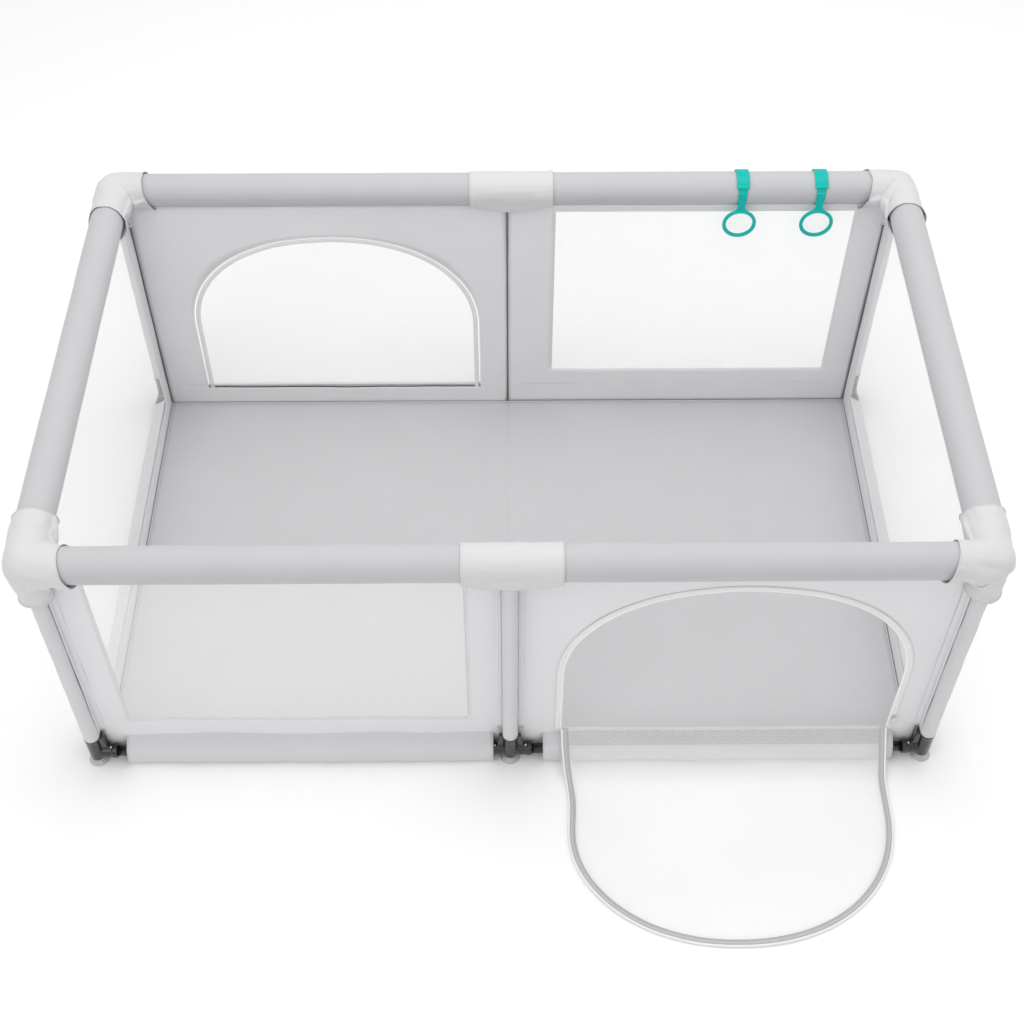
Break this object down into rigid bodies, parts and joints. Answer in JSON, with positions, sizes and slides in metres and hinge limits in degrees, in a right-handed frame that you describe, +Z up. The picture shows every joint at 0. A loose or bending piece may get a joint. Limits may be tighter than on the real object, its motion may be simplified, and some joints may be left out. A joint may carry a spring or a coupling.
{
  "type": "playpen",
  "caption": "Rectangular fabric and mesh playpen on a plug-together tube frame, with padded rails, a zipped fold-down door in front and behind, and pull rings.",
  "frame": {"origin": "centre of the floor sheet's underside, on the ground, under the middle of the pen", "axes": "+X along the long walls to the right, +Y from the front wall to the back wall, +Z up"},
  "size_m": [1.806, 1.5115, 0.705],
  "materials": {
    "black_plastic": "moulded black plastic, glossy",
    "steel_tube": "plain round steel tube, hidden inside padding and sleeves",
    "black_steel": "black painted round steel tube",
    "rail_padding": "light grey cloth over foam padding",
    "cover_cloth": "near white woven cover cloth",
    "wall_cloth": "light grey woven cloth and white netting",
    "door_mesh": "white netting with a light grey bound edge",
    "floor_cloth": "mid grey woven cloth, coated",
    "clear_rubber": "clear soft moulding",
    "teal_silicone": "teal soft moulding, satin",
    "zip_metal": "plated zip slider and pull"
  },
  "bodies": {
    "frame": {"base_corner_front_left": "black_plastic", "base_corner_front_right": "black_plastic", "base_corner_back_left": "black_plastic", "base_corner_back_right": "black_plastic", "base_tee_front": "black_plastic", "base_tee_back": "black_plastic", "rail_corner_front_left": "black_plastic", "rail_corner_front_right": "black_plastic", "rail_corner_back_left": "black_plastic", "rail_corner_back_right": "black_plastic", "rail_tee_front": "black_plastic", "rail_tee_back": "black_plastic", "rail_tube_front_left": "steel_tube", "rail_foam_front_left": "rail_padding", "base_tube_front_left": "black_steel", "rail_tube_front_right": "steel_tube", "rail_foam_front_right": "rail_padding", "base_tube_front_right": "black_steel", "rail_tube_back_left": "steel_tube", "rail_foam_back_left": "rail_padding", "base_tube_back_left": "black_steel", "rail_tube_back_right": "steel_tube", "rail_foam_back_right": "rail_padding", "base_tube_back_right": "black_steel", "rail_tube_left": "steel_tube", "rail_foam_left": "rail_padding", "base_tube_left": "black_steel", "rail_tube_right": "steel_tube", "rail_foam_right": "rail_padding", "base_tube_right": "black_steel", "post_front_left": "steel_tube", "suction_foot_front_left": "clear_rubber", "post_front_centre": "steel_tube", "suction_foot_front_centre": "clear_rubber", "post_front_right": "steel_tube", "suction_foot_front_right": "clear_rubber", "post_back_left": "steel_tube", "suction_foot_back_left": "clear_rubber", "post_back_centre": "steel_tube", "suction_foot_back_centre": "clear_rubber", "post_back_right": "steel_tube", "suction_foot_back_right": "clear_rubber", "corner_cover_front_left": "cover_cloth", "corner_cover_front_right": "cover_cloth", "corner_cover_back_left": "cover_cloth", "corner_cover_back_right": "cover_cloth", "wall_front": "wall_cloth", "wall_back": "wall_cloth", "wall_left": "wall_cloth", "wall_right": "wall_cloth", "floor_sheet": "floor_cloth"},
    "front_apron": {"front_door_apron": "door_mesh"},
    "front_flap": {"front_door_flap": "door_mesh"},
    "back_door": {"back_door_flap": "door_mesh"},
    "ring_left": {"pull_ring_left": "teal_silicone"},
    "ring_right": {"pull_ring_right": "teal_silicone"},
    "front_slider": {"front_door_zip_slider": "zip_metal"},
    "front_pull": {"front_door_zip_pull": "zip_metal"},
    "back_slider": {"back_door_zip_slider": "zip_metal"},
    "back_pull": {"back_door_zip_pull": "zip_metal"}
  },
  "joints": [
    {"name": "front_door_sill", "type": "hinge", "parent": "frame", "child": "front_apron", "pos_m": [0.4435, -0.50675, 0.08], "axis": [-1, 0, 0], "range_deg": [0, 137.8]},
    {"name": "front_door_fold", "type": "hinge", "parent": "front_apron", "child": "front_flap", "pos_m": [0.4435, -0.58151, 0.002], "axis": [-1, 0, 0], "range_deg": [-47.9, 0]},
    {"name": "back_door_sill", "type": "hinge", "parent": "frame", "child": "back_door", "pos_m": [-0.4065, 0.50675, 0.058], "axis": [-1, 0, 0], "range_deg": [0, 96]},
    {"name": "ring_left_swing", "type": "hinge", "parent": "frame", "child": "ring_left", "pos_m": [0.5165, 0.5215, 0.665], "axis": [-1, 0, 0], "range_deg": [0, 120]},
    {"name": "ring_right_swing", "type": "hinge", "parent": "frame", "child": "ring_right", "pos_m": [0.688, 0.5215, 0.665], "axis": [-1, 0, 0], "range_deg": [0, 120]},
    {"name": "front_zip_slide", "type": "slide", "parent": "frame", "child": "front_slider", "axis": [0, 0, 1], "range_m": [0, 0.15]},
    {"name": "front_zip_pull_swing", "type": "hinge", "parent": "front_slider", "child": "front_pull", "pos_m": [0.789, -0.51135, 0.124], "axis": [-1, 0, 0], "range_deg": [0, 165]},
    {"name": "back_zip_slide", "type": "slide", "parent": "frame", "child": "back_slider", "axis": [0, 0, 1], "range_m": [0, 0.15]},
    {"name": "back_zip_pull_swing", "type": "hinge", "parent": "back_slider", "child": "back_pull", "pos_m": [-0.061, 0.51135, 0.102], "axis": [1, 0, 0], "range_deg": [0, 165]}
  ],
  "couplings": [
    {"joint": "front_door_fold", "follows": "front_door_sill", "ratio": -0.34691}
  ]
}
